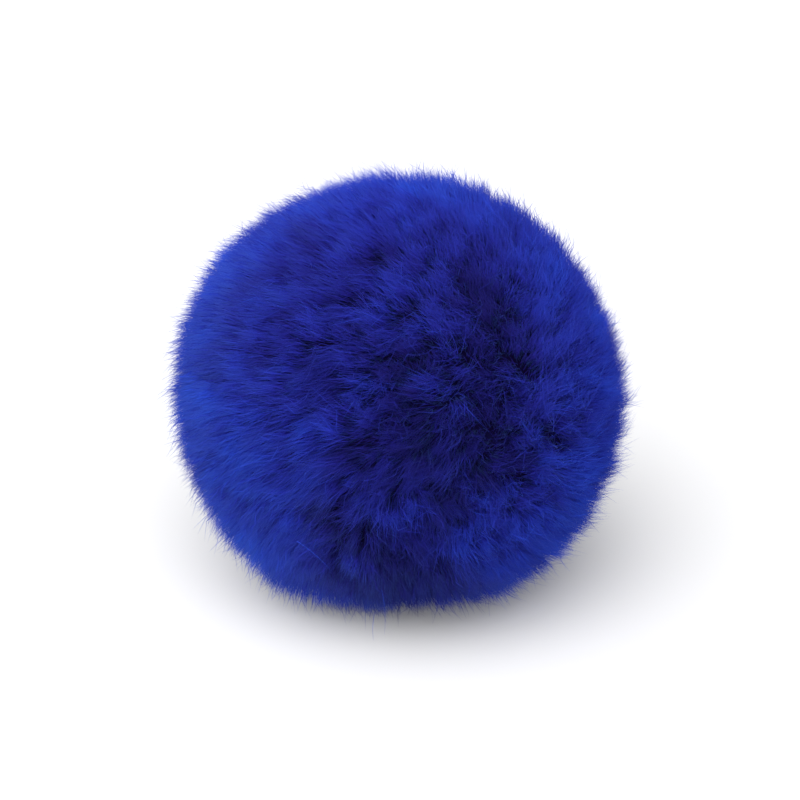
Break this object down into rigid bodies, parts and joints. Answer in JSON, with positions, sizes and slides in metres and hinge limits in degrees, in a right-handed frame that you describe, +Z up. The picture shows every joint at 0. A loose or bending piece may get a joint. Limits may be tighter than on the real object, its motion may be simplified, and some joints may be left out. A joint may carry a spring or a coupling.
{
  "type": "fur pom pom",
  "caption": "Soft round ball of dense fur pile, combed outwards from a whorl at its front and flattened a little where it rests.",
  "frame": {"origin": "on the floor, under the middle of the ball's box", "axes": "+Z up, -Y towards the front, where the pile parts at its whorl, +X to the right seen from the front"},
  "size_m": [0.0816, 0.081, 0.0742],
  "materials": {
    "fur": "long soft matt pile, darker between its locks and paler at its tips"
  },
  "bodies": {
    "root": {"fur_pompom": "fur"}
  },
  "joints": []
}
